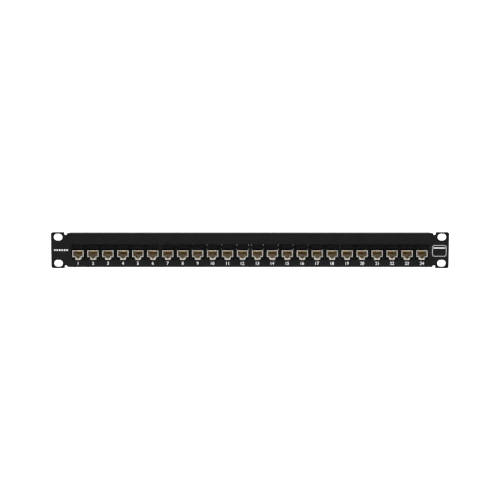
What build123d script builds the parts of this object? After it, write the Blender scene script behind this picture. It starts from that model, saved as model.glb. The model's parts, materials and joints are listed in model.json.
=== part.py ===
from build123d import *
import os

# Rack-mount patch panel, one rack unit high, with 24 shielded eight-way outlets.
# Millimetres. X runs along the panel, to the right seen from the front. The front faces -Y, Z is up.
# The origin is the centre of the four rack slots, on the rear (mounting) face of the ears.

os.makedirs("parts", exist_ok=True)

# ---------------------------------------------------------------- driving dimensions
port_pitch = 18.15           # centre to centre of neighbouring outlets
ports_per_window = 6
window_count = 4
port_count = ports_per_window * window_count

# folded steel panel
sheet = 1.5
ear_width = 16.2             # ear, from the relief notch out to the end
ear_height = 44.0
ear_corner = 2.5             # the ear's two outer corners
end_margin = 4.0             # steel beyond the last outlet's share of the panel
body_height = 41.8           # over the two flanges
bend_outer = 2.5
bend_inner = bend_outer - sheet
flange_depth = 20.0          # flanges, back from the mounting face
notch_width = 3.3            # bend relief between the body and each ear
notch_depth = 2.3            # below the outer face of the flange
slot_length = 10.4
slot_height = 7.9
slot_inset = 8.75            # slot centre in from the panel's end
slot_spacing = 31.75         # between the two slots of one ear

# windows in the face
window_top = 6.9
window_clearance = 0.2       # below the rims
window_corner = 0.6
rib_width = 2.5              # steel left between two windows

# moulded outlet frames behind the windows
frame_depth = 3.0
frame_gap = 0.4              # between two neighbouring frames
frame_top = 13.4
frame_bottom = -18.0
frame_lip = 0.2              # how far the frame's openings reach past the window above
frame_lip_low = 0.1          # and below it
divider_width = 2.25         # strip seen between two outlets
ledge_depth = 1.8            # front of the ledges that the housings rest on
latch_edge_gap = 0.15        # between the housing's body and the ledges
dot_diameter = 1.25
dot_height = 5.5
dot_depth = 1.0
key_width = 1.5
key_height = 1.8
key_middle = -10.4

# weld studs and nuts that hold the frames
stud_radius = 1.5
stud_length = 7.0
stud_clearance = 0.2
stud_across = 2              # outlet pitches from the frame's centre
stud_inset_top = 3.2         # stud centre below the frame's top edge
stud_inset_bottom = 3.2
nut_across_flats = 5.5
nut_thickness = 2.4
thread_gap = 0.02

# socket and its metal shield
port_width = 11.8
port_top = -1.0
port_height = 6.6
rim_wall = 0.75
rim_top_wall = 0.7
rim_shoulder = 0.6           # metal under the socket beside the latch notch
rim_edge = 0.1               # broken edge round the rim
rim_ramp = 0.8               # lead-in ramps at the notch's floor and step
rim_front = -1.5             # rim stands flush with the panel's face
tongue_step_width = 6.2      # wide step of the latch notch
tongue_step_depth = 1.7
tongue_slot_width = 3.2      # narrow step below it
tongue_slot_depth = 1.0
notch_wall = 0.5             # metal beside the wide step
notch_wall_low = 0.6
rim_floor = 1.3              # metal under the notch at the rim
sleeve_floor = 0.6           # metal under the notch behind the rim
rim_corner = 0.6
shield_rear = 10.5

# outlet housing
housing_wall = 0.4
housing_floor_wall = 0.7
collar_side = 0.4            # collar beyond the body on each side
collar_drop = 0.1            # collar below the body
cheek_gap = 0.2              # under the frame's opening
cheek_length = 9.0           # full-height stretch of the cheeks beside the lever
bridge_wall = 1.0            # walls between the two cheeks
bridge_gap = 0.7             # from the lever up to the bridge over it
collar_front = 0.8
housing_rear = 24.0
corner_block_inner = 5.6
corner_block_gap = 0.4       # from the shield down to the blocks
corner_block_front = -1.4
hook_half_width = 4.0
hook_gap = 0.2               # behind the frame
hook_length = 2.6
hook_drop = 0.9

# latch lever
tab_width = 14.9
tab_bottom = 1.5
tab_top = 6.4
tab_corner = 1.3
tab_front = -2.1
tab_back = -0.3
tab_edge = 0.25
tab_inset_margin = 1.4
tab_inset_depth = 0.2
arm_width = 10.4
arm_bottom = 1.7
arm_thickness = 1.8
pivot_depth = 20.0
trunnion_radius = 1.0
trunnion_gap = 0.05
ear_gap = 0.3                # between the arm and each housing ear
ear_round = 2.2              # radius of the housing ear about the pivot
tooth_gap = 0.35             # between the frame and the tooth
tooth_tip = 1.2
tooth_length = 4.6
tooth_bite = 0.8             # how far the tooth stands above the frame's opening

# contacts, board and terminals
contact_count = 8
contact_pitch = 1.016
contact_width = 0.5
contact_thickness = 0.35
contact_run_gap = 0.4        # between the shield's ceiling and the contacts
contact_fold = 1.8           # depth of the front fold
contact_tip_depth = 9.8
contact_tip_drop = 3.9
contact_fold_radius = 0.4
carrier_depth = 3.0
carrier_slot_gap = 0.05
board_thickness = 1.2
board_gap = 0.1
terminal_gap = 0.35          # between the terminal block and the hood round it
terminal_depth = 12.0
blade_columns = 4
blade_pitch = 2.9
blade_row_offset = 3.0
blade_width = 0.4
blade_height = 3.0
blade_depth = 10.0
blade_slot_gap = 0.05
wire_notch = 1.2
wire_notch_depth = 2.0

# rear hood
hood_wall = 0.7
hood_length = 16.0
hood_corner = 1.2
hood_back_wall = 1.2
cable_bore = 3.7
collar_wall = 0.9
collar_length = 6.0

# earth strip
strip_thickness = 0.5
strip_front = 8.0
strip_rear = 17.0
strip_overhang = 3.0         # beyond the centre of the last outlet
finger_width = 4.0
finger_rise_end = 27.5
finger_end = 30.5
finger_bend = 1.0
rivet_radius = 1.6
rivet_gap = 0.05
rivet_head_radius = 2.6
rivet_head = 0.9
rivet_depth = 12.0
rivet_steps = (-11, -6, 0, 6, 11)

# earth stud on a tab of the top flange
earth_tab_step = 10          # outlet pitches from the middle of the panel
earth_tab_width = 12.0
earth_tab_bottom = 7.5
earth_stud_height = 12.5
earth_stud_radius = 2.5
earth_stud_length = 14.0
earth_relief_gap = 0.2       # from the nut to the thread relief
earth_relief_width = 0.8
earth_relief_depth = 0.4
earth_head_across = 7.0
earth_head_thickness = 2.5
earth_nut_across = 8.0
earth_nut_thickness = 4.0
earth_washer_radius = 4.6
earth_washer_thickness = 0.8

# rear cable bar
bar_thickness = 1.5
bar_height = 10.0
bar_depth = 80.0
bar_front = 4.0
bar_corner = 4.0
bar_end_inset = 0.5          # arm's outer face in from the end of the body
foot_width = 8.0
foot_front = 6.0
foot_rear = 18.0
tie_slot_length = 6.0
tie_slot_height = 2.5
bar_screw_radius = 1.5
bar_screw_gap = 0.2
bar_screw_head_radius = 2.8
bar_screw_head = 1.6
bar_screw_depths = (9.0, 15.0)
screw_tail = 1.2             # screws and rivets stand this far below the flange

# ---------------------------------------------------------------- derived sizes
body_width = port_count * port_pitch + 2 * end_margin
ear_inner = body_width / 2 + notch_width
panel_width = 2 * (ear_inner + ear_width)
slot_across = panel_width / 2 - slot_inset
flange_face = body_height / 2 - sheet          # inner face of either flange
notch_end = body_height / 2 - notch_depth
window_width = ports_per_window * port_pitch - rib_width
frame_width = ports_per_window * port_pitch - frame_gap

socket_bottom = port_top - port_height
step_bottom = socket_bottom - tongue_step_depth
notch_bottom = step_bottom - tongue_slot_depth
shield_half = port_width / 2 + rim_wall
shield_top = port_top + rim_top_wall
shield_bottom = socket_bottom - rim_shoulder
rim_bottom = notch_bottom - rim_floor
sleeve_bottom = notch_bottom - sleeve_floor
notch_half = tongue_step_width / 2 + notch_wall
window_bottom = rim_bottom - window_clearance
window_middle = (window_top + window_bottom) / 2

housing_half = shield_half + housing_wall
housing_top = shield_top + housing_wall
housing_bottom = sleeve_bottom - housing_floor_wall
collar_half = housing_half + collar_side
collar_bottom = housing_bottom - collar_drop
corner_block_top = shield_bottom - corner_block_gap
opening_top = window_top + frame_lip
opening_bottom = window_bottom - frame_lip_low

pivot_height = arm_bottom + arm_thickness / 2
arm_top = arm_bottom + arm_thickness
ear_start = arm_width / 2 + ear_gap
tooth_front = frame_depth + tooth_gap
tooth_top = opening_top + tooth_bite
cheek_top = opening_top - cheek_gap
cheek_rear = ledge_depth + cheek_length
ear_rear = pivot_depth + ear_round

carrier_rear = shield_rear + carrier_depth
board_rear = carrier_rear + board_thickness
terminal_rear = board_rear + terminal_depth
contact_run = port_top - contact_run_gap - contact_thickness / 2
socket_middle = (shield_top + sleeve_bottom) / 2
hood_rear = housing_rear + hood_length
strip_top = -flange_face + strip_thickness
bar_half = body_width / 2 - bar_end_inset
foot_top = -flange_face + bar_thickness


def port_x(port):
    """Centre of an outlet; outlets are counted from 0 at the left."""
    return (port - (port_count - 1) / 2) * port_pitch


def frame_x(window):
    """Centre of a window; windows are counted from 0 at the left."""
    return (window - (window_count - 1) / 2) * ports_per_window * port_pitch


def section(depth):
    """Upright plane across the panel at a depth; its local axes are the panel's X and Z."""
    return Plane.XZ.offset(-depth)


def span(left, right, bottom, top):
    """Rectangle between two side edges and two level edges."""
    with Locations(((left + right) / 2, (bottom + top) / 2)):
        Rectangle(right - left, top - bottom)


def window_ports(window):
    """Outlet numbers behind one window."""
    first = window * ports_per_window
    return range(first, first + ports_per_window)


port_places = [(port_x(port), 0, 0) for port in range(port_count)]
boundary_places = [(step - ports_per_window / 2) * port_pitch for step in range(1, ports_per_window)]
stud_heights = (frame_top - stud_inset_top, frame_bottom + stud_inset_bottom)
stud_places = [
    (frame_x(window) + side * stud_across * port_pitch, height)
    for window in range(window_count)
    for side in (-1, 1)
    for height in stud_heights
]
bar_screw_across = bar_half - bar_thickness - foot_width / 2
bar_screw_places = [(side * bar_screw_across, depth) for side in (-1, 1) for depth in bar_screw_depths]
rivet_places = [(step * port_pitch, rivet_depth) for step in rivet_steps]
earth_x = earth_tab_step * port_pitch

# ---------------------------------------------------------------- folded steel panel
with BuildPart() as panel_frame:
    # channel: face with a flange folded back along the top and the bottom
    with BuildSketch(Plane.YZ.offset(-body_width / 2)) as channel:
        with BuildLine():
            Polyline(
                (flange_depth, body_height / 2),
                (-sheet, body_height / 2),
                (-sheet, -body_height / 2),
                (flange_depth, -body_height / 2),
                (flange_depth, -flange_face),
                (0, -flange_face),
                (0, flange_face),
                (flange_depth, flange_face),
                close=True,
            )
        make_face()
        fillet(channel.vertices().group_by(Axis.X)[0], bend_outer)
        fillet(channel.vertices().filter_by_position(Axis.X, -0.01, 0.01), bend_inner)
    extrude(amount=body_width)
    # ears, joined to the face between the relief notches
    with BuildSketch(Plane.XZ) as ears:
        with Locations((-ear_inner - ear_width / 2, 0), (ear_inner + ear_width / 2, 0)):
            Rectangle(ear_width, ear_height)
        fillet(ears.vertices().group_by(Axis.X)[0] + ears.vertices().group_by(Axis.X)[-1], ear_corner)
        for side in (-1, 1):
            span(
                min(side * body_width / 2, side * (ear_inner + ear_corner)),
                max(side * body_width / 2, side * (ear_inner + ear_corner)),
                -notch_end - notch_width / 2,
                notch_end + notch_width / 2,
            )
            for level in (-1, 1):
                with Locations((side * (body_width + notch_width) / 2, level * (notch_end + ear_height / 2))):
                    SlotOverall(ear_height, notch_width, rotation=90, mode=Mode.SUBTRACT)
    extrude(amount=sheet)
    # windows for the outlets
    with BuildSketch(Plane.XZ):
        with Locations([(frame_x(window), window_middle) for window in range(window_count)]):
            RectangleRounded(window_width, window_top - window_bottom, window_corner)
    extrude(amount=sheet, mode=Mode.SUBTRACT)
    # rack slots
    with BuildSketch(Plane.XZ):
        with GridLocations(2 * slot_across, slot_spacing, 2, 2):
            SlotOverall(slot_length, slot_height)
    extrude(amount=sheet, mode=Mode.SUBTRACT)
    # tab folded down from the top flange for the earth stud
    with BuildSketch(section(flange_depth - sheet)) as earth_tab:
        span(earth_x - earth_tab_width / 2, earth_x + earth_tab_width / 2, earth_tab_bottom, flange_face)
        fillet(earth_tab.vertices().group_by(Axis.Y)[0], ear_corner)
        with Locations((earth_x, earth_stud_height)):
            Circle(earth_stud_radius + thread_gap, mode=Mode.SUBTRACT)
    extrude(amount=-sheet)
    # holes in the bottom flange for the cable bar's screws and the strip's rivets
    with BuildSketch(Plane.XY.offset(-body_height / 2)):
        with Locations(bar_screw_places):
            Circle(bar_screw_radius + thread_gap)
        with Locations(rivet_places):
            Circle(rivet_radius + rivet_gap)
    extrude(amount=sheet, mode=Mode.SUBTRACT)

with BuildPart() as weld_studs:
    with BuildSketch(section(0)):
        with Locations(stud_places):
            Circle(stud_radius)
    extrude(amount=-stud_length)

with BuildPart() as stud_nuts:
    with BuildSketch(section(frame_depth)):
        with Locations(stud_places):
            RegularPolygon(nut_across_flats / 2, 6, major_radius=False)
            Circle(stud_radius + thread_gap, mode=Mode.SUBTRACT)
    extrude(amount=-nut_thickness)


# ---------------------------------------------------------------- moulded outlet frames
def outlet_frame(window):
    """Frame behind one window: six openings with ledges, dividers between them, four stud holes."""
    middle = frame_x(window)
    ledge_half = housing_half + latch_edge_gap
    front_half = (port_pitch - divider_width) / 2
    with BuildPart() as frame:
        with BuildSketch(section(0)):
            span(middle - frame_width / 2, middle + frame_width / 2, frame_bottom, frame_top)
            with Locations([(x, height) for x, height in stud_places if abs(x - middle) < frame_width / 2]):
                Circle(stud_radius + stud_clearance, mode=Mode.SUBTRACT)
        extrude(amount=-frame_depth)
        with BuildSketch(section(0)):
            for port in window_ports(window):
                span(port_x(port) - front_half, port_x(port) + front_half, opening_bottom, opening_top)
        extrude(amount=-ledge_depth, mode=Mode.SUBTRACT)
        with BuildSketch(section(0)):
            for port in window_ports(window):
                span(port_x(port) - ledge_half, port_x(port) + ledge_half, opening_bottom, opening_top)
            for boundary in boundary_places:
                with Locations((middle + boundary, key_middle)):
                    Rectangle(key_width, key_height)
        extrude(amount=-frame_depth, mode=Mode.SUBTRACT)
        with BuildSketch(section(0)):
            with Locations([(middle + boundary, dot_height) for boundary in boundary_places]):
                Circle(dot_diameter / 2)
        extrude(amount=-dot_depth, mode=Mode.SUBTRACT)
    return frame.part


# ---------------------------------------------------------------- outlet housing
def sleeve_outline():
    """Outer outline of the shield's sleeve: a box with the latch notch below it."""
    span(-shield_half, shield_half, shield_bottom, shield_top)
    span(-notch_half, notch_half, sleeve_bottom, shield_bottom)


def outlet_housing():
    """Moulded housing of one outlet, centred on x = 0."""
    with BuildPart() as housing:
        with BuildSketch(section(collar_front)):
            span(-collar_half, collar_half, collar_bottom, housing_top)
        extrude(amount=-(ledge_depth - collar_front))
        with BuildSketch(section(ledge_depth)):
            span(-housing_half, housing_half, housing_bottom, housing_top)
        extrude(amount=-(housing_rear - ledge_depth))
        # blocks at the two lower corners of the front
        with BuildSketch(section(corner_block_front)):
            for side in (-1, 1):
                span(
                    min(side * corner_block_inner, side * collar_half),
                    max(side * corner_block_inner, side * collar_half),
                    collar_bottom,
                    corner_block_top,
                )
        extrude(amount=-(collar_front - corner_block_front))
        # fixed hook behind the lower edge of the frame
        with BuildSketch(Plane.YZ.offset(-hook_half_width)):
            with BuildLine():
                Polyline(
                    (frame_depth + hook_gap, housing_bottom),
                    (frame_depth + hook_gap, housing_bottom - hook_drop),
                    (frame_depth + hook_gap + hook_length / 3, housing_bottom - hook_drop),
                    (frame_depth + hook_gap + hook_length, housing_bottom),
                    close=True,
                )
            make_face()
        extrude(amount=2 * hook_half_width)
        # cheeks on both sides of the latch lever, ending in the ears that carry it
        for cheek_plane in (Plane.YZ.offset(-housing_half), Plane.YZ.offset(ear_start)):
            with BuildSketch(cheek_plane):
                with BuildLine():
                    Polyline(
                        (ledge_depth, housing_top),
                        (ledge_depth, cheek_top),
                        (cheek_rear, cheek_top),
                        (pivot_depth, pivot_height + ear_round),
                        (ear_rear, pivot_height),
                        (ear_rear, housing_top),
                        close=True,
                    )
                make_face()
                with Locations((pivot_depth, pivot_height)):
                    Circle(ear_round)
                    Circle(trunnion_radius + trunnion_gap, mode=Mode.SUBTRACT)
            extrude(amount=housing_half - ear_start)
        # walls between the cheeks: one over the lever behind its tooth, one behind its pivot
        with BuildSketch(Plane.YZ.offset(-ear_start)):
            span(cheek_rear - bridge_wall, cheek_rear, arm_top + bridge_gap, cheek_top)
            span(ear_rear - bridge_wall, ear_rear, housing_top, pivot_height)
        extrude(amount=2 * ear_start)
        # cavity for the shield, then a wider one for the carrier, board and terminals
        with BuildSketch(section(collar_front)):
            sleeve_outline()
        extrude(amount=-(shield_rear - collar_front), mode=Mode.SUBTRACT)
        with BuildSketch(section(shield_rear)):
            span(-shield_half, shield_half, sleeve_bottom, shield_top)
        extrude(amount=-(housing_rear - shield_rear), mode=Mode.SUBTRACT)
    return housing.part


# ---------------------------------------------------------------- socket shield
def jack_shield():
    """Metal rim and sleeve of one socket, centred on x = 0."""
    low_half = notch_half - notch_wall_low
    with BuildPart() as shield:
        with BuildSketch(section(rim_front)) as rim:
            span(-shield_half, shield_half, shield_bottom, shield_top)
            with BuildLine():
                Polyline(
                    (-notch_half, shield_bottom),
                    (-low_half, rim_bottom),
                    (low_half, rim_bottom),
                    (notch_half, shield_bottom),
                    close=True,
                )
            make_face()
            fillet(rim.vertices().group_by(Axis.Y)[-1], rim_corner)
            fillet(rim.vertices().group_by(Axis.Y)[0], rim_corner)
        extrude(amount=-(collar_front - rim_front))
        with BuildSketch(section(collar_front)):
            sleeve_outline()
        extrude(amount=-(shield_rear - collar_front))
        with BuildSketch(section(rim_front)):
            span(-port_width / 2, port_width / 2, socket_bottom, port_top)
            span(-tongue_step_width / 2, tongue_step_width / 2, step_bottom, socket_bottom)
            span(-tongue_slot_width / 2, tongue_slot_width / 2, notch_bottom, step_bottom)
        extrude(amount=-(shield_rear - rim_front), mode=Mode.SUBTRACT)
        chamfer(shield.edges().group_by(Axis.Y)[0], rim_edge)
        # lead-in ramps at the floor of the notch and at its step
        for level, width in ((notch_bottom, tongue_slot_width), (step_bottom, tongue_step_width)):
            with BuildSketch(Plane.YZ.offset(-width / 2)):
                with BuildLine():
                    Polyline(
                        (rim_front, level),
                        (rim_front, level - rim_ramp),
                        (rim_front + rim_ramp, level),
                        close=True,
                    )
                make_face()
            extrude(amount=width, mode=Mode.SUBTRACT)
    return shield.part


# ---------------------------------------------------------------- latch lever
def latch_lever():
    """Release lever of one outlet: front tab, arm with a tooth, and two trunnions, centred on x = 0."""
    inset_width = tab_width - 2 * tab_inset_margin
    with BuildPart() as lever:
        with BuildSketch(section(tab_front)) as tab:
            span(-tab_width / 2, tab_width / 2, tab_bottom, tab_top)
            chamfer(tab.vertices().group_by(Axis.Y)[-1], tab_corner)
        extrude(amount=-(tab_back - tab_front))
        chamfer(lever.edges().group_by(Axis.Y)[0], tab_edge)
        with BuildSketch(section(tab_front)):
            span(-inset_width / 2, inset_width / 2, tab_bottom + tab_inset_margin / 2, tab_top - tab_inset_margin)
        extrude(amount=-tab_inset_depth, mode=Mode.SUBTRACT)
        # arm, rounded about the pivot, with the tooth that catches behind the frame
        with BuildSketch(Plane.YZ.offset(-arm_width / 2)):
            span(tab_back, pivot_depth, arm_bottom, arm_top)
            with Locations((pivot_depth, pivot_height)):
                Circle(arm_thickness / 2)
        extrude(amount=arm_width)
        with BuildSketch(Plane.YZ.offset(-arm_width / 2)):
            with BuildLine():
                Polyline(
                    (tooth_front, arm_top),
                    (tooth_front, tooth_top),
                    (tooth_front + tooth_tip, tooth_top),
                    (tooth_front + tooth_length, arm_top),
                    close=True,
                )
            make_face()
        extrude(amount=arm_width)
        # trunnions
        with BuildSketch(Plane.YZ.offset(-housing_half)):
            with Locations((pivot_depth, pivot_height)):
                Circle(trunnion_radius)
        extrude(amount=2 * housing_half)
    return lever.part


# ---------------------------------------------------------------- inside the outlet
contact_rows = [(index - (contact_count - 1) / 2) * contact_pitch for index in range(contact_count)]
blade_places = [
    ((column - (blade_columns - 1) / 2) * blade_pitch, socket_middle + row * blade_row_offset)
    for column in range(blade_columns)
    for row in (-1, 1)
]


def contact_carrier():
    """Insulator behind the shield, with one slot for each contact."""
    with BuildPart() as carrier:
        with BuildSketch(section(shield_rear)):
            span(-shield_half, shield_half, sleeve_bottom, shield_top)
            with Locations([(x, contact_run) for x in contact_rows]):
                Rectangle(
                    contact_width + 2 * carrier_slot_gap,
                    contact_thickness + 2 * carrier_slot_gap,
                    mode=Mode.SUBTRACT,
                )
        extrude(amount=-carrier_depth)
    return carrier.part


def contact_wire():
    """Spring contact: from the board forward under the ceiling, folded back and down into the socket."""
    with BuildPart() as wire:
        with BuildSketch(Plane.YZ.offset(-contact_width / 2)):
            with BuildLine() as route:
                FilletPolyline(
                    (carrier_rear, contact_run),
                    (contact_fold, contact_run),
                    (contact_tip_depth, contact_run - contact_tip_drop),
                    radius=contact_fold_radius,
                )
            trace(route.line, line_width=contact_thickness)
        extrude(amount=contact_width)
    return wire.part


def circuit_board():
    """Small board between the contacts and the terminal blades."""
    with BuildPart() as board:
        with BuildSketch(section(carrier_rear)):
            span(-shield_half + board_gap, shield_half - board_gap, sleeve_bottom + board_gap, shield_top - board_gap)
        extrude(amount=-board_thickness)
    return board.part


def terminal_block():
    """Insulation-displacement block with eight blade slots and wire notches at the rear."""
    inset = hood_wall + terminal_gap
    half = housing_half - inset
    with BuildPart() as block:
        with BuildSketch(section(board_rear)):
            span(-half, half, housing_bottom + inset, housing_top - inset)
        extrude(amount=-terminal_depth)
        with BuildSketch(section(board_rear)):
            with Locations(blade_places):
                Rectangle(blade_width + 2 * blade_slot_gap, blade_height + 2 * blade_slot_gap)
        extrude(amount=-blade_depth, mode=Mode.SUBTRACT)
        with BuildSketch(section(terminal_rear)):
            for column in range(blade_columns):
                with Locations((blade_places[2 * column][0], socket_middle)):
                    Rectangle(wire_notch, 2 * (blade_row_offset + blade_height))
        extrude(amount=wire_notch_depth, mode=Mode.SUBTRACT)
    return block.part


def terminal_blades():
    """Eight blades of one outlet, from the board into the block."""
    with BuildPart() as blades:
        with BuildSketch(section(board_rear)):
            with Locations(blade_places):
                Rectangle(blade_width, blade_height)
        extrude(amount=-(blade_depth - blade_slot_gap))
    return blades.part


# ---------------------------------------------------------------- rear hood
def rear_hood():
    """Metal hood behind one housing, with a round collar for the cable."""
    middle = (housing_top + housing_bottom) / 2
    height = housing_top - housing_bottom
    with BuildPart() as hood:
        with BuildSketch(section(housing_rear)):
            with Locations((0, middle)):
                RectangleRounded(2 * housing_half, height, hood_corner)
        extrude(amount=-hood_length)
        fillet(hood.faces().sort_by(Axis.Y)[-1].edges(), hood_corner / 2)
        with BuildSketch(section(hood_rear)):
            with Locations((0, middle)):
                Circle(cable_bore + collar_wall)
        extrude(amount=-collar_length)
        with BuildSketch(section(housing_rear)):
            with Locations((0, middle)):
                RectangleRounded(2 * (housing_half - hood_wall), height - 2 * hood_wall, hood_corner - hood_wall / 2)
        extrude(amount=-(hood_length - hood_back_wall), mode=Mode.SUBTRACT)
        with BuildSketch(section(hood_rear + collar_length)):
            with Locations((0, middle)):
                Circle(cable_bore)
        extrude(amount=collar_length + hood_back_wall, mode=Mode.SUBTRACT)
    return hood.part


# ---------------------------------------------------------------- earth strip and its rivets
with BuildPart() as ground_strip:
    strip_half = port_x(port_count - 1) + strip_overhang
    with BuildSketch(Plane.XY.offset(-flange_face)):
        with Locations((0, (strip_front + strip_rear) / 2)):
            Rectangle(2 * strip_half, strip_rear - strip_front)
        with Locations(rivet_places):
            Circle(rivet_radius + rivet_gap, mode=Mode.SUBTRACT)
    extrude(amount=strip_thickness)
    with Locations([(x - finger_width / 2, 0, 0) for x, _, _ in port_places]):
        with BuildSketch(Plane.YZ):
            with BuildLine() as rise:
                FilletPolyline(
                    (strip_rear - finger_bend, -flange_face + strip_thickness / 2),
                    (strip_rear + finger_bend, -flange_face + strip_thickness / 2),
                    (finger_rise_end, housing_bottom - strip_thickness / 2),
                    (finger_end, housing_bottom - strip_thickness / 2),
                    radius=finger_bend,
                )
            trace(rise.line, line_width=strip_thickness)
    extrude(amount=finger_width)

with BuildPart() as ground_strip_rivets:
    with BuildSketch(Plane.XY.offset(strip_top)):
        with Locations(rivet_places):
            Circle(rivet_head_radius)
    extrude(amount=rivet_head)
    fillet(ground_strip_rivets.edges().filter_by(GeomType.CIRCLE).group_by(Axis.Z)[-1], rivet_head / 2)
    with BuildSketch(Plane.XY.offset(-body_height / 2 - screw_tail)):
        with Locations(rivet_places):
            Circle(rivet_radius)
    extrude(amount=strip_top + body_height / 2 + screw_tail)

# ---------------------------------------------------------------- earth stud, washer and nut
with BuildPart() as earth_stud:
    with BuildSketch(section(flange_depth - sheet)):
        with Locations((earth_x, earth_stud_height)):
            RegularPolygon(earth_head_across / 2, 6, major_radius=False)
    extrude(amount=earth_head_thickness)
    with BuildSketch(section(flange_depth - sheet)):
        with Locations((earth_x, earth_stud_height)):
            Circle(earth_stud_radius)
    extrude(amount=-earth_stud_length)
    chamfer(earth_stud.edges().filter_by(GeomType.CIRCLE).sort_by(Axis.Y)[-1], earth_stud_radius / 5)
    # thread relief, beyond the nut
    with BuildSketch(section(flange_depth + earth_washer_thickness + earth_nut_thickness + earth_relief_gap)):
        with Locations((earth_x, earth_stud_height)):
            Circle(earth_stud_radius)
            Circle(earth_stud_radius - earth_relief_depth, mode=Mode.SUBTRACT)
    extrude(amount=-earth_relief_width, mode=Mode.SUBTRACT)

with BuildPart() as earth_washer:
    with BuildSketch(section(flange_depth)):
        with Locations((earth_x, earth_stud_height)):
            Circle(earth_washer_radius)
            Circle(earth_stud_radius + thread_gap, mode=Mode.SUBTRACT)
    extrude(amount=-earth_washer_thickness)

with BuildPart() as earth_nut:
    with BuildSketch(section(flange_depth + earth_washer_thickness)):
        with Locations((earth_x, earth_stud_height)):
            RegularPolygon(earth_nut_across / 2, 6, major_radius=False)
            Circle(earth_stud_radius + thread_gap, mode=Mode.SUBTRACT)
    extrude(amount=-earth_nut_thickness)

# ---------------------------------------------------------------- rear cable bar and its screws
with BuildPart() as cable_bar:
    centre_half = bar_half - bar_thickness / 2
    with BuildSketch(Plane.XY.offset(-flange_face)):
        with BuildLine() as strip_line:
            FilletPolyline(
                (-centre_half, bar_front),
                (-centre_half, bar_depth - bar_thickness / 2),
                (centre_half, bar_depth - bar_thickness / 2),
                (centre_half, bar_front),
                radius=bar_corner,
            )
        trace(strip_line.line, line_width=bar_thickness)
    extrude(amount=bar_height)
    # feet folded inwards onto the bottom flange
    with BuildSketch(Plane.XY.offset(-flange_face)):
        for side in (-1, 1):
            with Locations((side * (bar_half - bar_thickness - foot_width / 2), (foot_front + foot_rear) / 2)):
                Rectangle(foot_width, foot_rear - foot_front)
        with Locations(bar_screw_places):
            Circle(bar_screw_radius + bar_screw_gap, mode=Mode.SUBTRACT)
    extrude(amount=bar_thickness)
    # slots for cable ties, one behind each outlet
    with BuildSketch(section(bar_depth)):
        with Locations([(x, -flange_face + bar_height / 2) for x, _, _ in port_places]):
            SlotOverall(tie_slot_length, tie_slot_height)
    extrude(amount=bar_thickness, mode=Mode.SUBTRACT)

with BuildPart() as cable_bar_screws:
    with BuildSketch(Plane.XY.offset(foot_top)):
        with Locations(bar_screw_places):
            Circle(bar_screw_head_radius)
    extrude(amount=bar_screw_head)
    fillet(cable_bar_screws.edges().filter_by(GeomType.CIRCLE).group_by(Axis.Z)[-1], bar_screw_head / 3)
    with BuildSketch(Plane.XY.offset(-body_height / 2 - screw_tail)):
        with Locations(bar_screw_places):
            Circle(bar_screw_radius)
    extrude(amount=foot_top + body_height / 2 + screw_tail)


# ---------------------------------------------------------------- export
def save(part, name):
    """Label one node and write it to its STEP file."""
    part.label = name
    export_step(part, f"parts/{name}.step")


def place(piece, places):
    """Copies of a piece at a list of places, as one node."""
    with BuildPart() as group:
        with Locations(places):
            add(piece)
    return group.part


save(panel_frame.part, "panel_frame")
save(weld_studs.part, "weld_studs")
save(stud_nuts.part, "stud_nuts")
save(ground_strip.part, "ground_strip")
save(ground_strip_rivets.part, "ground_strip_rivets")
save(earth_stud.part, "earth_stud")
save(earth_washer.part, "earth_washer")
save(earth_nut.part, "earth_nut")
save(cable_bar.part, "cable_bar")
save(cable_bar_screws.part, "cable_bar_screws")

housing_piece = outlet_housing()
shield_piece = jack_shield()
block_piece = terminal_block()
hood_piece = rear_hood()
for window in range(window_count):
    places = [port_places[port] for port in window_ports(window)]
    save(outlet_frame(window), f"outlet_frame_{window + 1}")
    save(place(housing_piece, places), f"outlet_housings_{window + 1}")
    save(place(shield_piece, places), f"jack_shields_{window + 1}")
    save(place(block_piece, places), f"terminal_blocks_{window + 1}")
    save(place(hood_piece, places), f"rear_hoods_{window + 1}")

save(place(contact_carrier(), port_places), "contact_carriers")
save(place(circuit_board(), port_places), "circuit_boards")
save(place(terminal_blades(), port_places), "terminal_blades")
wire_places = [(port_x(port) + across, 0, 0) for port in range(port_count) for across in contact_rows]
save(place(contact_wire(), wire_places), "contact_wires")

lever_piece = latch_lever()
for port in range(port_count):
    save(place(lever_piece, [port_places[port]]), f"latch_lever_{port + 1:02d}")
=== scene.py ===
import json
import math

import bpy
from bpy.props import FloatProperty, IntProperty, PointerProperty
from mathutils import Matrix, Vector


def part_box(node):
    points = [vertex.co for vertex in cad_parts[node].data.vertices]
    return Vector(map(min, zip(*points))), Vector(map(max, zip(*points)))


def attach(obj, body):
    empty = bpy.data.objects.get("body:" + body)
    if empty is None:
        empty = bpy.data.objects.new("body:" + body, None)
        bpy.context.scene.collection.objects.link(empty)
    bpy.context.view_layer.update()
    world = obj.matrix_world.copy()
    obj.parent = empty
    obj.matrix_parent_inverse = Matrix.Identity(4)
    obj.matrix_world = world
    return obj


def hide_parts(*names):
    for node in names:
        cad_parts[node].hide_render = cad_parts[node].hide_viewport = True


bl_info = {
    "name": "Patch Panel Finisher",
    "version": (1, 0, 0),
    "blender": (4, 5, 0),
    "location": "View3D > Sidebar > Patch Panel",
    "description": "Prints the legends, details the hardware and finishes the materials of a rack patch panel",
    "category": "Object",
}

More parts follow.
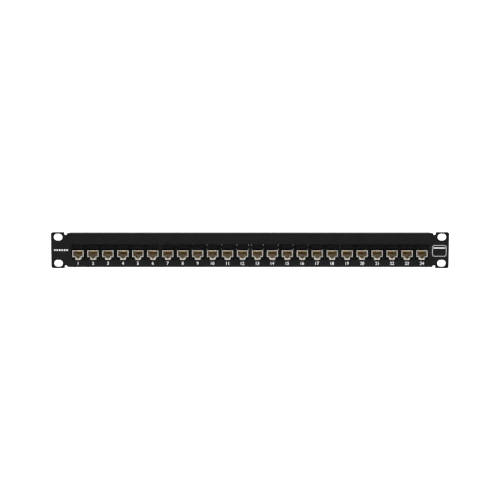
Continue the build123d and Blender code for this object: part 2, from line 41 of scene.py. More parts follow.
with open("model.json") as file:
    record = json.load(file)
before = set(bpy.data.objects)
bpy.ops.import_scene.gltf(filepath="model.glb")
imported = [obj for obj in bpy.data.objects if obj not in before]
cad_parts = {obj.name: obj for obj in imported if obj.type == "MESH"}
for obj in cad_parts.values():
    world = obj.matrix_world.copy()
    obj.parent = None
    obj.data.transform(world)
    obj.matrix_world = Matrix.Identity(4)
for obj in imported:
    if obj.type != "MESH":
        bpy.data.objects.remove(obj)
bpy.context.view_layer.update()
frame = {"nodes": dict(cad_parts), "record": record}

MM = 0.001
PORTS = 24
PORTS_PER_WINDOW = 6
FACE_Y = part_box("panel_frame")[0].y
SMOOTH_ANGLE = math.radians(35)
PAPER_GLOW = 0.95            # keeps the paper just past full white
AIR_LIGHT = 0.1              # strength of the air round the panel as a light on it
NOISE_RANGE = (0.3, 0.7)     # the part of a noise's range that it mostly keeps to
MERGE_GAP = 0.001 * MM       # points nearer than this are one point
THREAD_GAP = 0.02 * MM       # between a thread and the nut on it
STUD_STEP = 2                # outlet pitches from a window's middle to its studs


# ---------------------------------------------------------------- colours and shader nodes
def linear(value):
    """Linear colour, with alpha, of an sRGB hex value such as "#1a1a1b"."""
    channels = [int(value[i:i + 2], 16) / 255 for i in (1, 3, 5)]
    return [c / 12.92 if c <= 0.04045 else ((c + 0.055) / 1.055) ** 2.4 for c in channels] + [1.0]


def add_node(tree, kind, settings=None, **links):
    """Add a shader node; settings are attributes or socket values, links are sockets fed by other nodes' outputs."""
    made = tree.nodes.new(kind)
    for name, value in (settings or {}).items():
        if name in made.inputs:
            made.inputs[name].default_value = value
        else:
            setattr(made, name, value)
    for name, output in links.items():
        tree.links.new(output, made.inputs[name])
    return made


def new_material(name, **sockets):
    """Material with a Principled shader; sockets are its constant values, with underscores for spaces."""
    material = bpy.data.materials.new(name)
    material.use_nodes = True
    shader = material.node_tree.nodes["Principled BSDF"]
    for socket, value in sockets.items():
        shader.inputs[socket.replace("_", " ")].default_value = value
    return material, material.node_tree, shader


def object_coordinates(tree, stretch=(1, 1, 1)):
    """The piece's own coordinates, in metres, stretched along its axes."""
    place = add_node(tree, "ShaderNodeTexCoord")
    return add_node(tree, "ShaderNodeMapping", {"Scale": stretch}, Vector=place.outputs["Object"]).outputs["Vector"]


def noise(tree, vector, size_mm, detail=2.0, roughness=0.5):
    """Noise whose features are about size_mm across."""
    return add_node(
        tree, "ShaderNodeTexNoise", {"Scale": 1 / (size_mm * MM), "Detail": detail, "Roughness": roughness},
        Vector=vector,
    ).outputs["Fac"]


def between(tree, fac, low, high):
    """A value that runs from low to high as fac runs over the middle of its range."""
    start, end = NOISE_RANGE
    return add_node(
        tree, "ShaderNodeMapRange", {"From Min": start, "From Max": end, "To Min": low, "To Max": high}, Value=fac,
    ).outputs["Result"]


def colours(tree, fac, low, high):
    """Colour that runs between two hex colours as fac runs over the middle of its range."""
    ramp = add_node(tree, "ShaderNodeValToRGB", Fac=fac)
    for element, place, colour in zip(ramp.color_ramp.elements, NOISE_RANGE, (low, high)):
        element.position = place
        element.color = linear(colour)
    return ramp.outputs["Color"]


def bump(tree, shader, height, distance_mm, strength):
    """Relief of a given depth on the shader's normal."""
    relief = add_node(
        tree, "ShaderNodeBump", {"Distance": distance_mm * MM, "Strength": strength}, Height=height)
    tree.links.new(relief.outputs["Normal"], shader.inputs["Normal"])


# ---------------------------------------------------------------- materials
def powder_coated_steel():
    """Sheet steel, satin black polyester powder coat: near-black, soft sheen, faint orange peel."""
    material, tree, shader = new_material(
        "powder_coated_steel", IOR=1.5, Specular_IOR_Level=0.12)
    place = object_coordinates(tree)
    tree.links.new(colours(tree, noise(tree, place, 14, 3), "#0c0c0c", "#101010"), shader.inputs["Base Color"])
    tree.links.new(between(tree, noise(tree, place, 6, 3), 0.42, 0.52), shader.inputs["Roughness"])
    # orange peel of baked powder is about 0.8 mm across; drawn at 1.1 mm so that it shows
    bump(tree, shader, noise(tree, place, 1.1, 2), 0.05, 0.35)
    return material


def moulded_pbt():
    """Polybutylene terephthalate, injection moulded: black, matt, with a fine spark-eroded grain."""
    material, tree, shader = new_material("moulded_pbt", IOR=1.53, Specular_IOR_Level=0.06)
    place = object_coordinates(tree)
    tree.links.new(colours(tree, noise(tree, place, 5, 2), "#070708", "#0a0a0b"), shader.inputs["Base Color"])
    tree.links.new(between(tree, noise(tree, place, 2.5, 2), 0.46, 0.58), shader.inputs["Roughness"])
    # spark-eroded grain of about 0.15 mm, drawn at 0.35 mm so that it shows
    bump(tree, shader, noise(tree, place, 0.35, 2), 0.03, 0.4)
    return material


def moulded_abs():
    """ABS, injection moulded outlet frame: black, slightly deeper grain and less sheen than the outlets."""
    material, tree, shader = new_material("moulded_abs", IOR=1.54, Specular_IOR_Level=0.06)
    place = object_coordinates(tree)
    tree.links.new(colours(tree, noise(tree, place, 8, 2), "#080809", "#0c0c0d"), shader.inputs["Base Color"])
    tree.links.new(between(tree, noise(tree, place, 3, 2), 0.55, 0.68), shader.inputs["Roughness"])
    # texture of about 0.2 mm, drawn at 0.5 mm
    bump(tree, shader, noise(tree, place, 0.5, 2), 0.04, 0.4)
    return material


def nickel_plated_brass():
    """Drawn brass with bright nickel plate: warm silver, soft reflections, drawing marks along the depth."""
    material, tree, shader = new_material("nickel_plated_brass", Metallic=1.0)
    place = object_coordinates(tree, (1, 0.08, 1))
    tree.links.new(colours(tree, noise(tree, place, 1.2, 3), "#d9d4ca", "#eae6de"), shader.inputs["Base Color"])
    tree.links.new(between(tree, noise(tree, place, 0.8, 3), 0.28, 0.4), shader.inputs["Roughness"])
    bump(tree, shader, noise(tree, place, 0.4, 2), 0.01, 0.3)
    return material


def gold_plated_bronze():
    """Phosphor bronze spring contact with a gold flash: deep yellow, bright, faint drawing lines."""
    material, tree, shader = new_material("gold_plated_bronze", Metallic=1.0)
    place = object_coordinates(tree, (1, 0.1, 1))
    tree.links.new(colours(tree, noise(tree, place, 0.6, 2), "#b08a3e", "#cba55c"), shader.inputs["Base Color"])
    tree.links.new(between(tree, noise(tree, place, 0.4, 2), 0.2, 0.32), shader.inputs["Roughness"])
    bump(tree, shader, noise(tree, place, 0.25, 2), 0.005, 0.3)
    return material


def tinned_bronze():
    """Phosphor bronze strip, hot tinned: soft grey white metal with a blurred sheen and rolled grain."""
    material, tree, shader = new_material("tinned_bronze", Metallic=1.0)
    place = object_coordinates(tree, (0.06, 1, 1))
    tree.links.new(colours(tree, noise(tree, place, 1.0, 3), "#b5b4ae", "#cfcec8"), shader.inputs["Base Color"])
    tree.links.new(between(tree, noise(tree, place, 0.9, 3), 0.3, 0.46), shader.inputs["Roughness"])
    bump(tree, shader, noise(tree, place, 0.3, 2), 0.01, 0.35)
    return material


def zinc_plated_steel():
    """Steel fastener, bright zinc plate with clear passivation: silver with faint blue and straw tints."""
    material, tree, shader = new_material("zinc_plated_steel", Metallic=1.0)
    place = object_coordinates(tree)
    tree.links.new(colours(tree, noise(tree, place, 2.2, 2), "#b9c0c8", "#cfcbb9"), shader.inputs["Base Color"])
    tree.links.new(between(tree, noise(tree, place, 0.7, 3), 0.24, 0.4), shader.inputs["Roughness"])
    bump(tree, shader, noise(tree, place, 0.4, 3), 0.01, 0.3)
    return material


def die_cast_zinc():
    """Zinc alloy die casting, satin nickel plate: grey silver, pebbled cast skin, soft reflections."""
    material, tree, shader = new_material("die_cast_zinc", Metallic=1.0)
    place = object_coordinates(tree)
    tree.links.new(colours(tree, noise(tree, place, 4, 3), "#a3a29e", "#b8b7b2"), shader.inputs["Base Color"])
    tree.links.new(between(tree, noise(tree, place, 1.5, 3), 0.34, 0.48), shader.inputs["Roughness"])
    # cast skin of about 0.3 mm, drawn at 0.5 mm
    bump(tree, shader, noise(tree, place, 0.5, 3), 0.03, 0.5)
    return material


def moulded_polyetherimide():
    """Polyetherimide contact carrier: natural amber brown, smooth, a little light passes into it."""
    material, tree, shader = new_material(
        "moulded_polyetherimide", IOR=1.65, Subsurface_Weight=0.2, Subsurface_Scale=1.0 * MM)
    place = object_coordinates(tree)
    tree.links.new(colours(tree, noise(tree, place, 3, 2), "#735d37", "#816e45"), shader.inputs["Base Color"])
    tree.links.new(between(tree, noise(tree, place, 1.5, 2), 0.35, 0.5), shader.inputs["Roughness"])
    bump(tree, shader, noise(tree, place, 0.4, 2), 0.02, 0.3)
    return material


def board_laminate():
    """Glass-epoxy board under green solder mask: glossy, darker over the copper tracks."""
    material, tree, shader = new_material("board_laminate", IOR=1.5, Roughness=0.25)
    place = object_coordinates(tree)
    # tracks 2.54 mm apart; the wave texture has one band in every 2 pi units
    tracks = add_node(
        tree, "ShaderNodeTexWave", {"Scale": 1 / (2.54 * MM) / 6.3, "Distortion": 6.0, "Detail": 1.0}, Vector=place)
    tree.links.new(colours(tree, tracks.outputs["Fac"], "#0f4d2a", "#1c6b3c"), shader.inputs["Base Color"])
    bump(tree, shader, tracks.outputs["Fac"], 0.04, 0.4)
    return material


def moulded_polycarbonate():
    """Natural polycarbonate terminal block: milky white, smooth, slightly translucent."""
    material, tree, shader = new_material(
        "moulded_polycarbonate", IOR=1.585, Subsurface_Weight=0.25, Subsurface_Scale=1.5 * MM)
    place = object_coordinates(tree)
    tree.links.new(colours(tree, noise(tree, place, 4, 2), "#d6d5cd", "#e3e2db"), shader.inputs["Base Color"])
    tree.links.new(between(tree, noise(tree, place, 2, 2), 0.28, 0.38), shader.inputs["Roughness"])
    return material


def legend_ink():
    """Screen-printed epoxy ink: opaque white, slightly uneven where the screen laid it."""
    material, tree, shader = new_material("legend_ink", IOR=1.5)
    place = object_coordinates(tree)
    tree.links.new(colours(tree, noise(tree, place, 0.8, 3), "#e6e6e4", "#f4f4f2"), shader.inputs["Base Color"])
    tree.links.new(between(tree, noise(tree, place, 0.6, 2), 0.4, 0.55), shader.inputs["Roughness"])
    bump(tree, shader, noise(tree, place, 0.3, 2), 0.01, 0.3)
    return material


def studio_paper():
    """Matt white background paper, with a trace of tooth."""
    material, tree, shader = new_material(
        "studio_paper", Roughness=0.9, Specular_IOR_Level=0.1, Emission_Strength=PAPER_GLOW,
        Emission_Color=(1, 1, 1, 1))
    place = object_coordinates(tree)
    tree.links.new(colours(tree, noise(tree, place, 30, 3), "#f6f6f6", "#fafafa"), shader.inputs["Base Color"])
    return material


SLOT_MATERIALS = {
    "powder_coated_steel": powder_coated_steel,
    "black_pbt": moulded_pbt,
    "black_moulded_frame": moulded_abs,
    "nickel_plated_shield": nickel_plated_brass,
    "gold_plated_bronze": gold_plated_bronze,
    "tinned_bronze": tinned_bronze,
    "zinc_plated_steel": zinc_plated_steel,
    "zinc_die_cast": die_cast_zinc,
    "amber_carrier": moulded_polyetherimide,
    "board_laminate": board_laminate,
    "white_polycarbonate": moulded_polycarbonate,
}


# ---------------------------------------------------------------- modelling helpers
def deselect():
    """Leave nothing selected."""
    bpy.ops.object.select_all(action="DESELECT")


def activate(piece):
    """Select one piece alone and make it the active one."""
    deselect()
    piece.select_set(True)
    bpy.context.view_layer.objects.active = piece


def apply_place():
    """Put the active object's place, turn and scale into its mesh."""
    bpy.ops.object.transform_apply(location=True, rotation=True, scale=True)


def node_box(node):
    """Lowest and highest corners of a CAD node, and its middle."""
    low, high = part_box(node)
    return low, high, (low + high) / 2


def port_x(port):
    """Centre of an outlet, from its latch lever; outlets are counted from 1."""
    return node_box(f"latch_lever_{port:02d}")[2].x


def select_ends(piece, *ways):
    """In edit mode, leave only the end faces selected that look up, for 1, or down, for -1."""
    bpy.ops.object.mode_set(mode="EDIT")
    bpy.ops.mesh.select_mode(type="FACE")
    bpy.ops.mesh.select_all(action="DESELECT")
    bpy.ops.object.mode_set(mode="OBJECT")
    for face in piece.data.polygons:
        face.select = round(face.normal.z) in ways
    bpy.ops.object.mode_set(mode="EDIT")


def extrude(move):
    """Extrude what is selected by a distance."""
    bpy.ops.mesh.extrude_region_move(TRANSFORM_OT_translate={"value": move})


def cylinder(sides, radius, bottom, top, turn=0.0):
    """Upright cylinder about the Z axis, its place applied."""
    deselect()
    bpy.ops.mesh.primitive_cylinder_add(
        vertices=sides, radius=radius, depth=top - bottom, location=(0, 0, (bottom + top) / 2), rotation=(0, 0, turn))
    apply_place()
    return bpy.context.active_object


def boolean(piece, other, operation):
    """Cut another piece out of a piece, or keep only what they share, and remove the other."""
    activate(piece)
    modifier = piece.modifiers.new(operation.lower(), "BOOLEAN")
    modifier.operation = operation
    modifier.object = other
    bpy.ops.object.modifier_apply(modifier=modifier.name)
    activate(other)
    bpy.ops.object.delete()


def soften(piece, width, segments=2):
    """Break a piece's sharp edges and shade the rest smooth."""
    activate(piece)
    modifier = piece.modifiers.new("broken_edges", "BEVEL")
    modifier.width = width
    modifier.segments = segments
    modifier.limit_method = "ANGLE"
    modifier.angle_limit = SMOOTH_ANGLE
    bpy.ops.object.modifier_apply(modifier=modifier.name)
    bpy.ops.object.shade_smooth_by_angle(angle=SMOOTH_ANGLE)


def copies(piece, places, turn=(0, 0, 0)):
    """Copy a piece, each copy with its own mesh, to a list of places, and join the copies."""
    made = []
    for place in places:
        activate(piece)
        bpy.ops.object.duplicate(linked=False)
        copy = bpy.context.active_object
        copy.rotation_euler = turn
        copy.location = place
        apply_place()
        made.append(copy)
    activate(piece)
    bpy.ops.object.delete()
    return join(made)


def join(pieces):
    """Join pieces into the first of them."""
    activate(pieces[0])
    for piece in pieces:
        piece.select_set(True)
    bpy.ops.object.join()
    return bpy.context.active_object


def recalculate(piece):
    """Merge doubled points and turn the faces outwards."""
    activate(piece)
    bpy.ops.object.mode_set(mode="EDIT")
    bpy.ops.mesh.select_all(action="SELECT")
    bpy.ops.mesh.remove_doubles(threshold=MERGE_GAP)
    bpy.ops.mesh.normals_make_consistent(inside=False)
    bpy.ops.object.mode_set(mode="OBJECT")


def finish_piece(piece, name, material, node=None):
    """Name a piece, give it its material and slot, fix it to the panel and let it stand for a CAD node."""
    piece.name = name
    piece.data.name = name
    piece.data.materials.clear()
    piece.data.materials.append(material)
    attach(piece, "root")
    if node:
        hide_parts(node)


def print_on_face(piece, name, ink):
    """Turn a flat figure up to the panel's face, give it the ink's thickness and its ink."""
    activate(piece)
    piece.rotation_euler = (math.radians(90), 0, 0)
    piece.location.y = FACE_Y
    apply_place()
    bpy.ops.object.mode_set(mode="EDIT")
    bpy.ops.mesh.select_all(action="SELECT")
    bpy.ops.mesh.remove_doubles(threshold=MERGE_GAP)
    extrude((0, -ink, 0))
    bpy.ops.object.mode_set(mode="OBJECT")
    recalculate(piece)
    finish_piece(piece, name, bpy.data.materials["legend_ink"])


def flat_rectangle(x, z, width, height):
    """Rectangle in the ground plane; its Y is the height it later has on the face."""
    deselect()
    bpy.ops.mesh.primitive_plane_add(size=1)
    piece = bpy.context.active_object
    piece.scale = (width, height, 1)
    piece.location = (x, z, 0)
    apply_place()
    return piece


def hexagon(across, bottom, top):
    """Hexagon with its corners taken off at both ends, about the Z axis, corners along X."""
    corner = across / math.sqrt(3)
    piece = cylinder(6, corner, bottom, top, turn=math.radians(30))
    blank = cylinder(48, corner, bottom, top)
    select_ends(blank, 1, -1)
    bpy.ops.mesh.bevel(affect="EDGES", offset=corner - across / 2, segments=1)
    bpy.ops.object.mode_set(mode="OBJECT")
    boolean(piece, blank, "INTERSECT")
    return piece


# ---------------------------------------------------------------- settings
class LegendSettings(bpy.types.PropertyGroup):
    """Sizes of the printed legends."""

    number_height: FloatProperty(
        name="Number Height", description="Height of the outlet numbers", default=3.8 * MM, unit="LENGTH")
    number_middle: FloatProperty(
        name="Number Middle", description="Height of the middle of the numbers", default=-15.9 * MM, unit="LENGTH")
    number_weight: FloatProperty(
        name="Number Weight", description="How far the strokes are thickened, as a share of the letter size",
        default=0.014)
    ink: FloatProperty(
        name="Ink", description="Thickness of the printed ink", default=0.03 * MM, unit="LENGTH")
    square_count: IntProperty(name="Squares", description="Squares in the row on the left ear", default=6)
    square_size: FloatProperty(
        name="Square Size", description="Side of one square", default=1.85 * MM, unit="LENGTH")
    square_pitch: FloatProperty(
        name="Square Pitch", description="From one square to the next", default=2.98 * MM, unit="LENGTH")
    square_inset: FloatProperty(
        name="Square Inset", description="From the ear's end to the first square", default=3.7 * MM, unit="LENGTH")
    square_middle: FloatProperty(
        name="Square Middle", description="Height of the middle of the squares", default=0.1 * MM, unit="LENGTH")
    field_width: FloatProperty(
        name="Field Width", description="Width of the label field", default=17.1 * MM, unit="LENGTH")
    field_height: FloatProperty(
        name="Field Height", description="Height of the label field", default=13.6 * MM, unit="LENGTH")
    field_corner: FloatProperty(
        name="Field Corner", description="Corner of the label field", default=2.8 * MM, unit="LENGTH")
    field_inset: FloatProperty(
        name="Field Inset", description="From the ear's end to the label field", default=3.1 * MM, unit="LENGTH")
    field_middle: FloatProperty(
        name="Field Middle", description="Height of the label field's middle", default=-0.8 * MM, unit="LENGTH")
    line: FloatProperty(
        name="Line", description="Width of the label field's outline", default=0.42 * MM, unit="LENGTH")
    bar_width: FloatProperty(
        name="Bar Width", description="Width of the heading bar in the label field", default=14.3 * MM, unit="LENGTH")
    bar_height: FloatProperty(
        name="Bar Height", description="Height of the heading bar", default=1.3 * MM, unit="LENGTH")
    bar_drop: FloatProperty(
        name="Bar Drop", description="From the label field's top to the bar's middle", default=3.35 * MM,
        unit="LENGTH")


class FastenerSettings(bpy.types.PropertyGroup):
    """Sizes of the fasteners that the CAD leaves plain."""

    shank: FloatProperty(
        name="Screw Shank", description="Radius of the cable bar's screws", default=1.5 * MM, unit="LENGTH")
    head: FloatProperty(
        name="Screw Head", description="Radius of their pan heads", default=2.8 * MM, unit="LENGTH")
    head_height: FloatProperty(
        name="Screw Head Height", description="Height of their pan heads", default=1.6 * MM, unit="LENGTH")
    recess: FloatProperty(
        name="Recess", description="Length of the cross recess", default=3.0 * MM, unit="LENGTH")
    nut: FloatProperty(
        name="Frame Nut", description="Size across the flats of the outlet frames' nuts", default=5.5 * MM,
        unit="LENGTH")
    stud: FloatProperty(
        name="Weld Stud", description="Radius of the weld studs", default=1.5 * MM, unit="LENGTH")
    earth_nut: FloatProperty(
        name="Earth Nut", description="Size across the flats of the earth nut", default=8.0 * MM, unit="LENGTH")
    earth_head: FloatProperty(
        name="Earth Head", description="Size across the flats of the earth stud's head", default=7.0 * MM,
        unit="LENGTH")
    earth_head_height: FloatProperty(
        name="Earth Head Height", description="Height of the earth stud's head", default=2.5 * MM, unit="LENGTH")
    earth_stud: FloatProperty(
        name="Earth Stud", description="Radius of the earth stud's thread", default=2.5 * MM, unit="LENGTH")
    thread_pitch: FloatProperty(
        name="Thread Pitch", description="Pitch of the earth stud's thread", default=0.8 * MM, unit="LENGTH")


class StageSettings(bpy.types.PropertyGroup):
    """Camera of the studio."""

    distance: FloatProperty(
        name="Camera Distance", description="From the middle of the panel's face", default=0.9, unit="LENGTH")
    elevation: FloatProperty(
        name="Camera Elevation", description="Above the level view", default=math.radians(3.9), subtype="ANGLE")
    aim: FloatProperty(
        name="Camera Aim", description="Height of the point the camera looks at", default=0.25 * MM, unit="LENGTH")
    view_width: FloatProperty(
        name="View Width", description="Width seen at the panel", default=0.6063, unit="LENGTH")


# ---------------------------------------------------------------- operators
class PATCHPANEL_OT_finishes(bpy.types.Operator):
    """Give every piece of the panel the finish of its real material"""

    bl_idname = "patchpanel.finishes"
    bl_label = "Finish the Pieces"

    def execute(self, context):
        made = {slot: make() for slot, make in SLOT_MATERIALS.items()}
        for part in frame["record"]["subparts"]:
            piece = frame["nodes"][part["node"]]
            piece.data.materials.clear()
            piece.data.materials.append(made[part["material_slot"]])
        legend_ink()
        return {"FINISHED"}


class PATCHPANEL_OT_numbers(bpy.types.Operator):
    """Print the outlet numbers under the outlets"""

    bl_idname = "patchpanel.numbers"
    bl_label = "Print the Numbers"

    def execute(self, context):
        legend = context.scene.panel_legend
        figures = []
        for port in range(1, PORTS + 1):
            deselect()
            bpy.ops.object.text_add()
            text = context.active_object.data
            text.body = str(port)
            text.size = 1.0
            text.offset = legend.number_weight
            text.resolution_u = 4
            bpy.ops.object.convert(target="MESH")
            figure = context.active_object
            across = [v.co.x for v in figure.data.vertices]
            heights = [v.co.y for v in figure.data.vertices]
            scale = legend.number_height / (max(heights) - min(heights))
            figure.scale = (scale, scale, scale)
            figure.location = (
                port_x(port) - scale * (max(across) + min(across)) / 2,
                legend.number_middle - scale * (max(heights) + min(heights)) / 2,
                0,
            )
            apply_place()
            figures.append(figure)
        print_on_face(join(figures), "port_numbers", legend.ink)
        return {"FINISHED"}


class PATCHPANEL_OT_squares(bpy.types.Operator):
    """Print the row of squares on the left ear"""

    bl_idname = "patchpanel.squares"
    bl_label = "Print the Squares"

    def execute(self, context):
        legend = context.scene.panel_legend
        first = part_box("panel_frame")[0].x + legend.square_inset + legend.square_size / 2
        squares = [
            flat_rectangle(
                first + index * legend.square_pitch, legend.square_middle, legend.square_size, legend.square_size)
            for index in range(legend.square_count)
        ]
        print_on_face(join(squares), "ear_squares", legend.ink)
        return {"FINISHED"}


class PATCHPANEL_OT_label_field(bpy.types.Operator):
    """Print the outlined label field and its heading bar on the right ear"""

    bl_idname = "patchpanel.label_field"
    bl_label = "Print the Label Field"

    def execute(self, context):
        legend = context.scene.panel_legend
        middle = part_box("panel_frame")[1].x - legend.field_inset - legend.field_width / 2
        outline = flat_rectangle(middle, legend.field_middle, legend.field_width, legend.field_height)
        bpy.ops.object.mode_set(mode="EDIT")
        bpy.ops.mesh.select_all(action="SELECT")
        bpy.ops.mesh.bevel(affect="VERTICES", offset=legend.field_corner, segments=6)
        bpy.ops.mesh.select_all(action="SELECT")
        bpy.ops.mesh.inset(thickness=legend.line, depth=0)
        bpy.ops.mesh.delete(type="FACE")
        bpy.ops.object.mode_set(mode="OBJECT")
        print_on_face(outline, "label_field_outline", legend.ink)

        top = legend.field_middle + legend.field_height / 2
        bar = flat_rectangle(middle, top - legend.bar_drop, legend.bar_width, legend.bar_height)
        print_on_face(bar, "label_heading_bar", legend.ink)
        return {"FINISHED"}


class PATCHPANEL_OT_bar_screws(bpy.types.Operator):
    """Make the cable bar's pan-head screws, with their cross recesses"""

    bl_idname = "patchpanel.bar_screws"
    bl_label = "Make the Cable Bar Screws"

    def execute(self, context):
        sizes = context.scene.panel_fasteners
        low, high, _ = node_box("cable_bar_screws")
        seat = high.z - sizes.head_height
        # the head's dome and the recess, as shares of the head's height
        dome, recess_depth = 0.55, 0.7
        # a wing of the recess: its width as a share of its length, and its taper towards the bottom
        wing_width, wing_taper = 0.25, 0.5
        screw = cylinder(24, sizes.shank, low.z, seat)
        grow = sizes.head / sizes.shank
        select_ends(screw, 1)
        extrude((0, 0, 0))
        bpy.ops.transform.resize(value=(grow, grow, 1))
        extrude((0, 0, sizes.head_height))
        bpy.ops.mesh.bevel(affect="EDGES", offset=sizes.head_height * dome, segments=5)
        bpy.ops.object.mode_set(mode="OBJECT")
        for turn in (0, 90):
            deselect()
            bpy.ops.mesh.primitive_cube_add(size=1, location=(0, 0, high.z))
            wing = context.active_object
            wing.scale = (sizes.recess, sizes.recess * wing_width, 2 * sizes.head_height * recess_depth)
            wing.rotation_euler.z = math.radians(turn)
            apply_place()
            select_ends(wing, -1)
            bpy.ops.transform.resize(value=(wing_taper, wing_taper, 1))
            bpy.ops.object.mode_set(mode="OBJECT")
            boolean(screw, wing, "DIFFERENCE")
        soften(screw, width=0.06 * MM, segments=1)
        places = [
            (x, y, 0)
            for x in (low.x + sizes.head, high.x - sizes.head)
            for y in (low.y + sizes.head, high.y - sizes.head)
        ]
        piece = copies(screw, places)
        finish_piece(
            piece, "pan_head_screws", bpy.data.materials["zinc_plated_steel"],
            "cable_bar_screws")
        return {"FINISHED"}


class PATCHPANEL_OT_frame_nuts(bpy.types.Operator):
    """Make the chamfered nuts that hold the outlet frames"""

    bl_idname = "patchpanel.frame_nuts"
    bl_label = "Make the Frame Nuts"

    def execute(self, context):
        sizes = context.scene.panel_fasteners
        low, high, _ = node_box("stud_nuts")
        studs_low, studs_high, _ = node_box("weld_studs")
        nut = hexagon(sizes.nut, 0, high.y - low.y)
        boolean(nut, cylinder(24, sizes.stud + THREAD_GAP, -MM, high.y - low.y + MM), "DIFFERENCE")
        soften(nut, width=0.1 * MM)
        pitch = port_x(2) - port_x(1)
        places = []
        for first in range(1, PORTS + 1, PORTS_PER_WINDOW):
            middle = (port_x(first) + port_x(first + PORTS_PER_WINDOW - 1)) / 2
            for x in (middle - STUD_STEP * pitch, middle + STUD_STEP * pitch):
                for z in (studs_low.z + sizes.stud, studs_high.z - sizes.stud):
                    places.append((x, low.y, z))
        piece = copies(nut, places, turn=(math.radians(-90), 0, 0))
        finish_piece(
            piece, "frame_nuts", bpy.data.materials["zinc_plated_steel"], "stud_nuts")
        return {"FINISHED"}


class PATCHPANEL_OT_earth_terminal(bpy.types.Operator):
    """Make the earth stud with its thread, and its chamfered nut"""

    bl_idname = "patchpanel.earth_terminal"
    bl_label = "Make the Earth Terminal"

    def execute(self, context):
        sizes = context.scene.panel_fasteners
        turn = (math.radians(-90), 0, 0)
        zinc = bpy.data.materials["zinc_plated_steel"]
        low, high, middle = node_box("earth_stud")
        place = (middle.x, low.y, middle.z)
        length = high.y - low.y

        # head, then a thread of rings one pitch apart, which at this size look like the real helix
        root = 0.86                          # the thread's root as a share of its crest
        crest_angle = math.radians(20)       # shading stays sharp at the crests
        head = hexagon(sizes.earth_head, 0, sizes.earth_head_height)
        soften(head, width=0.12 * MM)
        deselect()
        bpy.ops.mesh.primitive_circle_add(
            vertices=32, radius=sizes.earth_stud * root, fill_type="NGON", location=(0, 0, sizes.earth_head_height))
        apply_place()
        thread = context.active_object
        bpy.ops.object.mode_set(mode="EDIT")
        bpy.ops.mesh.select_all(action="SELECT")
        steps = 2 * int((length - sizes.earth_head_height) / sizes.thread_pitch)
        for step in range(steps):
            extrude((0, 0, (length - sizes.earth_head_height) / steps))
            grow = root if step % 2 else 1 / root
            bpy.ops.transform.resize(value=(grow, grow, 1))
        bpy.ops.object.mode_set(mode="OBJECT")
        recalculate(thread)
        bpy.ops.object.shade_smooth_by_angle(angle=crest_angle)
        finish_piece(
            copies(join([head, thread]), [place], turn), "threaded_earth_stud", zinc,
            "earth_stud")

        low, high, middle = node_box("earth_nut")
        nut = hexagon(sizes.earth_nut, 0, high.y - low.y)
        boolean(nut, cylinder(32, sizes.earth_stud, -MM, high.y - low.y + MM), "DIFFERENCE")
        soften(nut, width=0.15 * MM)
        finish_piece(
            copies(nut, [(middle.x, low.y, middle.z)], turn), "chamfered_earth_nut", zinc,
            "earth_nut")
        return {"FINISHED"}


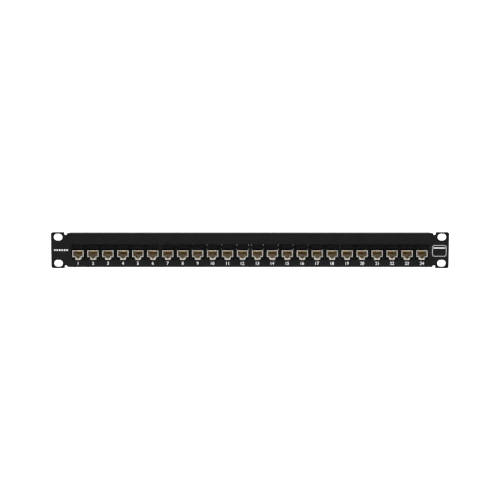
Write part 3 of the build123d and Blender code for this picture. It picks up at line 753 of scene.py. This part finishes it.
class PATCHPANEL_OT_stage(bpy.types.Operator):
    """Set the paper sweep, the soft lights and the camera"""

    bl_idname = "patchpanel.stage"
    bl_label = "Set the Stage"

    def execute(self, context):
        stage = context.scene.panel_stage

        # paper, in metres: a floor that sweeps up behind the panel
        paper_width, paper_depth, paper_drop, paper_rise, sweep_radius = 12.0, 5.0, 0.4, 4.0, 1.2
        deselect()
        bpy.ops.mesh.primitive_plane_add(size=1, location=(0, 0, -paper_drop))
        paper = context.active_object
        paper.scale = (paper_width, paper_depth, 1)
        apply_place()
        bpy.ops.object.mode_set(mode="EDIT")
        bpy.ops.mesh.select_mode(type="EDGE")
        bpy.ops.mesh.select_all(action="DESELECT")
        bpy.ops.object.mode_set(mode="OBJECT")
        for edge in paper.data.edges:
            edge.select = all(paper.data.vertices[v].co.y > 0 for v in edge.vertices)
        bpy.ops.object.mode_set(mode="EDIT")
        extrude((0, 0, paper_rise))
        bpy.ops.object.mode_set(mode="OBJECT")
        sweep = paper.modifiers.new("sweep", "BEVEL")
        sweep.width = sweep_radius
        sweep.segments = 16
        sweep.limit_method = "ANGLE"
        bpy.ops.object.modifier_apply(modifier=sweep.name)
        bpy.ops.object.shade_smooth()
        paper.name = "studio_paper"
        paper.data.materials.append(studio_paper())

        # name, place and target in metres, width and height in metres, watts
        lights = (
            ("overhead_softbox", (0, -0.6, 1.6), (0, 0, 0), 2.4, 1.6, 14),
            ("left_softbox", (-1.2, -2.2, 0.5), (0, 0, 0), 1.0, 1.0, 5),
            ("right_softbox", (1.2, -2.2, 0.5), (0, 0, 0), 1.0, 1.0, 4.5),
            ("front_softbox", (0, -2.4, 0.62), (0, 0, 0), 1.6, 0.5, 10),
            ("paper_wash", (0, 0.8, 2.2), (0, 2.0, -0.4), 3.5, 1.5, 15),
        )
        for name, place, target, width, height, power in lights:
            bpy.ops.object.light_add(type="AREA", location=place)
            light = context.active_object
            light.name = name
            light.data.shape = "RECTANGLE"
            light.data.size = width
            light.data.size_y = height
            light.data.energy = power
            light.rotation_euler = (Vector(target) - Vector(place)).to_track_quat("-Z", "Y").to_euler()

        world = context.scene.world or bpy.data.worlds.new("studio_air")
        context.scene.world = world
        world.use_nodes = True
        air = world.node_tree.nodes["Background"]
        air.inputs["Color"].default_value = (1, 1, 1, 1)
        # dim as a light on the panel, full white where the view goes past the paper
        path = add_node(world.node_tree, "ShaderNodeLightPath")
        seen = add_node(
            world.node_tree, "ShaderNodeMapRange", {"To Min": AIR_LIGHT, "To Max": 1.0},
            Value=path.outputs["Is Camera Ray"])
        world.node_tree.links.new(seen.outputs["Result"], air.inputs["Strength"])

        target = Vector((node_box("panel_frame")[2].x, FACE_Y, stage.aim))
        place = target + stage.distance * Vector((0, -math.cos(stage.elevation), math.sin(stage.elevation)))
        bpy.ops.object.camera_add(location=place)
        camera = context.active_object
        camera.rotation_euler = (target - place).to_track_quat("-Z", "Y").to_euler()
        camera.data.lens = camera.data.sensor_width * stage.distance / stage.view_width
        context.scene.camera = camera
        context.scene.view_settings.view_transform = "Standard"
        return {"FINISHED"}


class PATCHPANEL_PT_sidebar(bpy.types.Panel):
    """Patch panel tools"""

    bl_label = "Patch Panel"
    bl_space_type = "VIEW_3D"
    bl_region_type = "UI"
    bl_category = "Patch Panel"

    def draw(self, context):
        for group in SETTINGS:
            settings = getattr(context.scene, group)
            for name in settings.__annotations__:
                self.layout.prop(settings, name)
        for operator in OPERATORS:
            self.layout.operator(operator.bl_idname)


SETTINGS = {
    "panel_legend": LegendSettings,
    "panel_fasteners": FastenerSettings,
    "panel_stage": StageSettings,
}
OPERATORS = (
    PATCHPANEL_OT_finishes,
    PATCHPANEL_OT_numbers,
    PATCHPANEL_OT_squares,
    PATCHPANEL_OT_label_field,
    PATCHPANEL_OT_bar_screws,
    PATCHPANEL_OT_frame_nuts,
    PATCHPANEL_OT_earth_terminal,
    PATCHPANEL_OT_stage,
)
CLASSES = (*SETTINGS.values(), *OPERATORS, PATCHPANEL_PT_sidebar)


def register():
    """Register the classes and their settings."""
    for made in CLASSES:
        bpy.utils.register_class(made)
    for name, group in SETTINGS.items():
        setattr(bpy.types.Scene, name, PointerProperty(type=group))


def unregister():
    """Undo register."""
    for name in SETTINGS:
        delattr(bpy.types.Scene, name)
    for made in reversed(CLASSES):
        bpy.utils.unregister_class(made)


def main():
    """Finish the panel piece by piece."""
    register()
    bpy.ops.patchpanel.finishes()
    bpy.ops.patchpanel.numbers()
    bpy.ops.patchpanel.squares()
    bpy.ops.patchpanel.label_field()
    bpy.ops.patchpanel.bar_screws()
    bpy.ops.patchpanel.frame_nuts()
    bpy.ops.patchpanel.earth_terminal()
    bpy.ops.patchpanel.stage()


if __name__ == "__main__":
    main()
